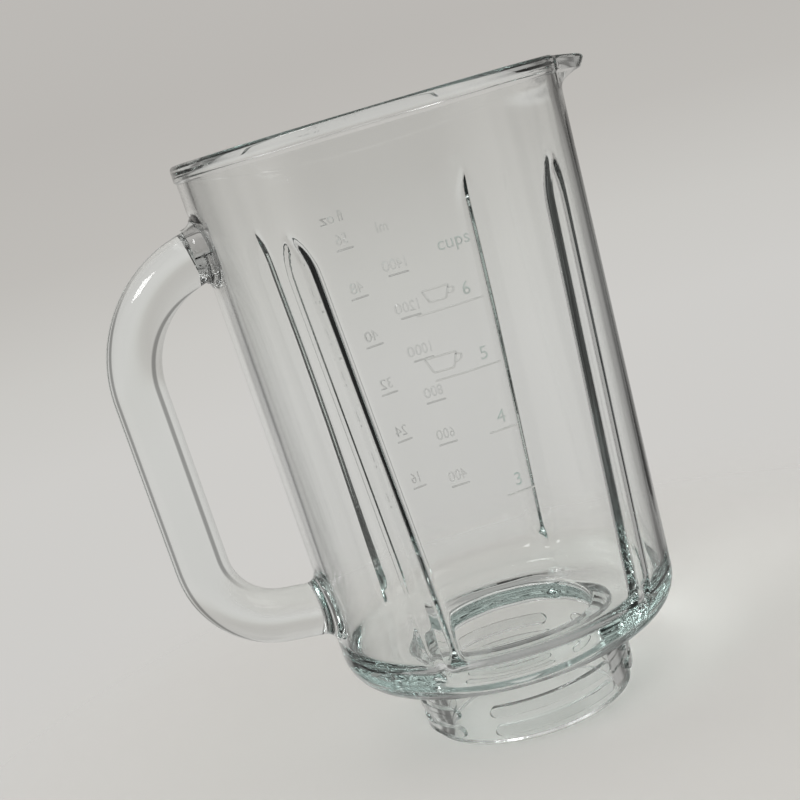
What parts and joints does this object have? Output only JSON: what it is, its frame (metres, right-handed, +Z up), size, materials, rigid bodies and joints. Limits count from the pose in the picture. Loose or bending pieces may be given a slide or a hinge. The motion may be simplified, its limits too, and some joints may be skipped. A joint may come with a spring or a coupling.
{
  "type": "blender jar",
  "caption": "Clear pressed glass jar for a table blender: tapered round body with flutes, loop handle, pouring lip, raised scale and an open threaded neck as its foot.",
  "frame": {"origin": "on the jar's axis in the plane of the neck's foot, where the jar stands when it is set down", "axes": "+Z up along the jar's axis, +X from the axis to the pouring lip, -X to the handle"},
  "size_m": [0.1904, 0.136, 0.219],
  "materials": {
    "clear_glass": "clear pressed soda-lime glass, fire-polished, with a faint green tint where it is thick"
  },
  "bodies": {
    "root": {"glass_jar": "clear_glass"}
  },
  "joints": []
}
